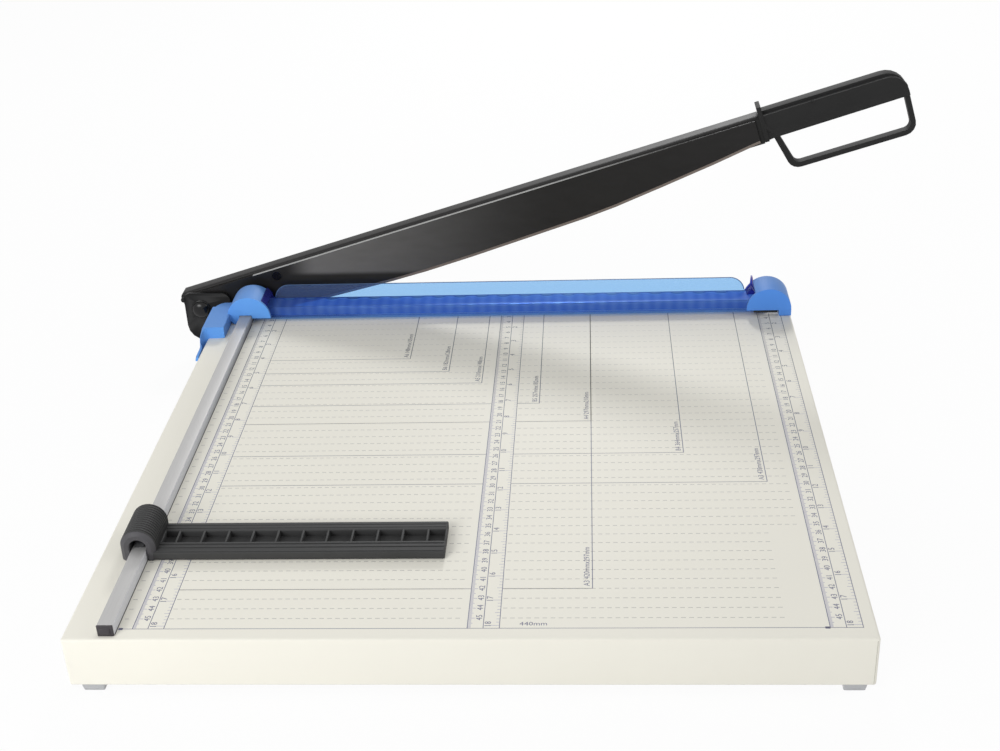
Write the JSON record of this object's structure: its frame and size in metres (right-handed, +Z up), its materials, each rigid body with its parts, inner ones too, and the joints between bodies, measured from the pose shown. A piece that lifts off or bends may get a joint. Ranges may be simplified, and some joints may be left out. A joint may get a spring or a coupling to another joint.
{
  "type": "guillotine paper cutter",
  "caption": "Desk paper cutter: folded steel bed, blade arm on a pivot bolt with a looped handle, sprung clear guard along the cut, and a back gauge that slides on a side rail.",
  "frame": {"origin": "on the bench under the middle of the machine's bounding box with the arm at its rest angle", "axes": "+X to the operator's right along the cut, +Y away from the operator, +Z up"},
  "size_m": [0.6383, 0.494, 0.2404],
  "materials": {
    "cream_paint": "satin cream paint",
    "bare_steel": "plated",
    "ground_steel": "ground",
    "black_paint": "satin black paint",
    "black_steel": "satin black",
    "rail_aluminium": "satin extruded",
    "blue_plastic": "glossy blue",
    "clear_blue_plastic": "clear blue",
    "black_plastic": "matt black",
    "foot_plastic": "satin grey"
  },
  "bodies": {
    "base": {"base_tray": "cream_paint", "stiffener_left": "bare_steel", "stiffener_right": "bare_steel", "knife_bar": "bare_steel", "foot_screw_1": "bare_steel", "foot_screw_2": "bare_steel", "foot_screw_3": "bare_steel", "foot_screw_4": "bare_steel", "rail_screw_1": "bare_steel", "rail_screw_2": "bare_steel", "mount_screw_1": "bare_steel", "mount_screw_2": "bare_steel", "mount_screw_3": "bare_steel", "mount_screw_4": "bare_steel", "guard_pin_left": "bare_steel", "guard_pin_right": "bare_steel", "guard_spring_left": "bare_steel", "guard_spring_right": "bare_steel", "pivot_washer_inner": "bare_steel", "pivot_spring": "bare_steel", "pivot_washer_outer": "bare_steel", "pivot_nut": "bare_steel", "fixed_knife": "ground_steel", "hinge_bracket": "black_paint", "knife_screw_1": "black_steel", "knife_screw_2": "black_steel", "knife_screw_3": "black_steel", "knife_screw_4": "black_steel", "knife_screw_5": "black_steel", "bracket_screw_1": "black_steel", "bracket_screw_2": "black_steel", "bracket_screw_3": "black_steel", "pivot_bolt": "black_steel", "rail": "rail_aluminium", "left_mount": "blue_plastic", "right_mount": "blue_plastic", "rail_end_cap": "black_plastic", "foot_1": "foot_plastic", "foot_2": "foot_plastic", "foot_3": "foot_plastic", "foot_4": "foot_plastic"},
    "arm": {"arm_spine": "black_paint", "blade": "black_steel", "blade_screw_1": "black_steel", "blade_screw_2": "black_steel", "blade_screw_3": "black_steel", "blade_screw_4": "black_steel", "handle": "black_plastic", "handle_screw_1": "black_steel", "handle_screw_2": "black_steel"},
    "gauge": {"gauge": "black_plastic", "gauge_spring": "bare_steel"},
    "guard": {"guard": "clear_blue_plastic"}
  },
  "joints": [
    {"name": "arm_hinge", "type": "hinge", "parent": "base", "child": "arm", "pos_m": [-0.29952, 0.23, 0.043], "axis": [0, -1, 0], "range_deg": [-16.8, 45]},
    {"name": "gauge_slide", "type": "slide", "parent": "base", "child": "gauge", "axis": [0, 1, 0], "range_m": [-0.0775, 0.3165]},
    {"name": "guard_press", "type": "slide", "parent": "base", "child": "guard", "axis": [0, 0, 1], "range_m": [-0.0017, 0], "stiffness_N_per_m": 800, "springref_m": 0.003, "deforming": ["guard_spring_left", "guard_spring_right"]}
  ]
}
